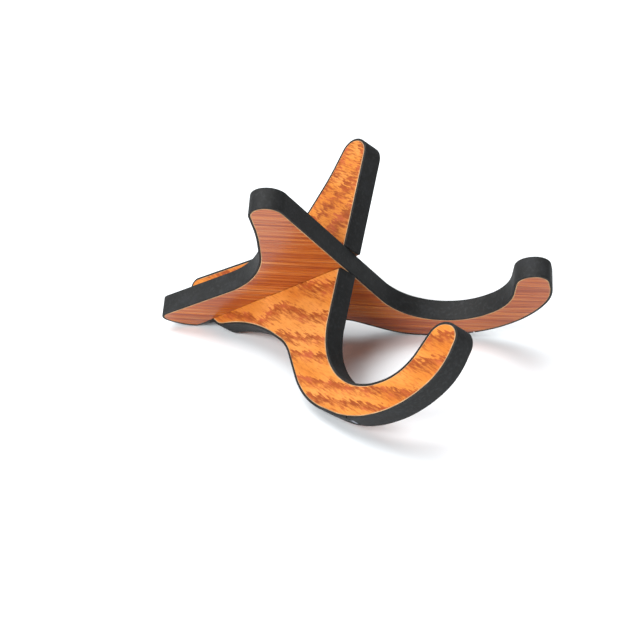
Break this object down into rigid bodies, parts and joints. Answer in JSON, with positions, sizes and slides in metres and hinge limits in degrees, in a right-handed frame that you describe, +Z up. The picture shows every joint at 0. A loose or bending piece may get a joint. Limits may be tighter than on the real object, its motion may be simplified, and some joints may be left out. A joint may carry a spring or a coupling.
{
  "type": "instrument stand",
  "caption": "Take-apart X-shaped stand of crossed veneered plywood plates with foam edges; hooked cradles in front hold a small string instrument that leans on the arms.",
  "frame": {"origin": "on the ground, under the middle of the stand's outer box", "axes": "+Z up; -Y to the front, where the hooks and cradles are; +X to the right as seen from the front. Each plate leans 45 degrees from the upright middle plane, and the line where they cross rises to the front at 31.6 degrees"},
  "size_m": [0.1838, 0.2622, 0.1389],
  "materials": {
    "plywood": "sawn and sanded birch plywood, matt",
    "face_veneer": "orange-brown oak veneer, satin lacquer",
    "back_veneer": "red-brown oak veneer, satin lacquer",
    "foam": "black closed-cell EVA foam, matt"
  },
  "bodies": {
    "left_plate": {"left_core": "plywood", "left_face_veneer": "face_veneer", "left_back_veneer": "back_veneer", "left_cradle_foam": "foam", "left_foot_foam": "foam"},
    "right_plate": {"right_core": "plywood", "right_face_veneer": "face_veneer", "right_back_veneer": "back_veneer", "right_cradle_foam": "foam", "right_arch_foam": "foam"}
  },
  "joints": [
    {"name": "half_lap_slide", "type": "slide", "parent": "left_plate", "child": "right_plate", "axis": [0, -0.8514, 0.5246], "range_m": [0, 0.068]}
  ]
}
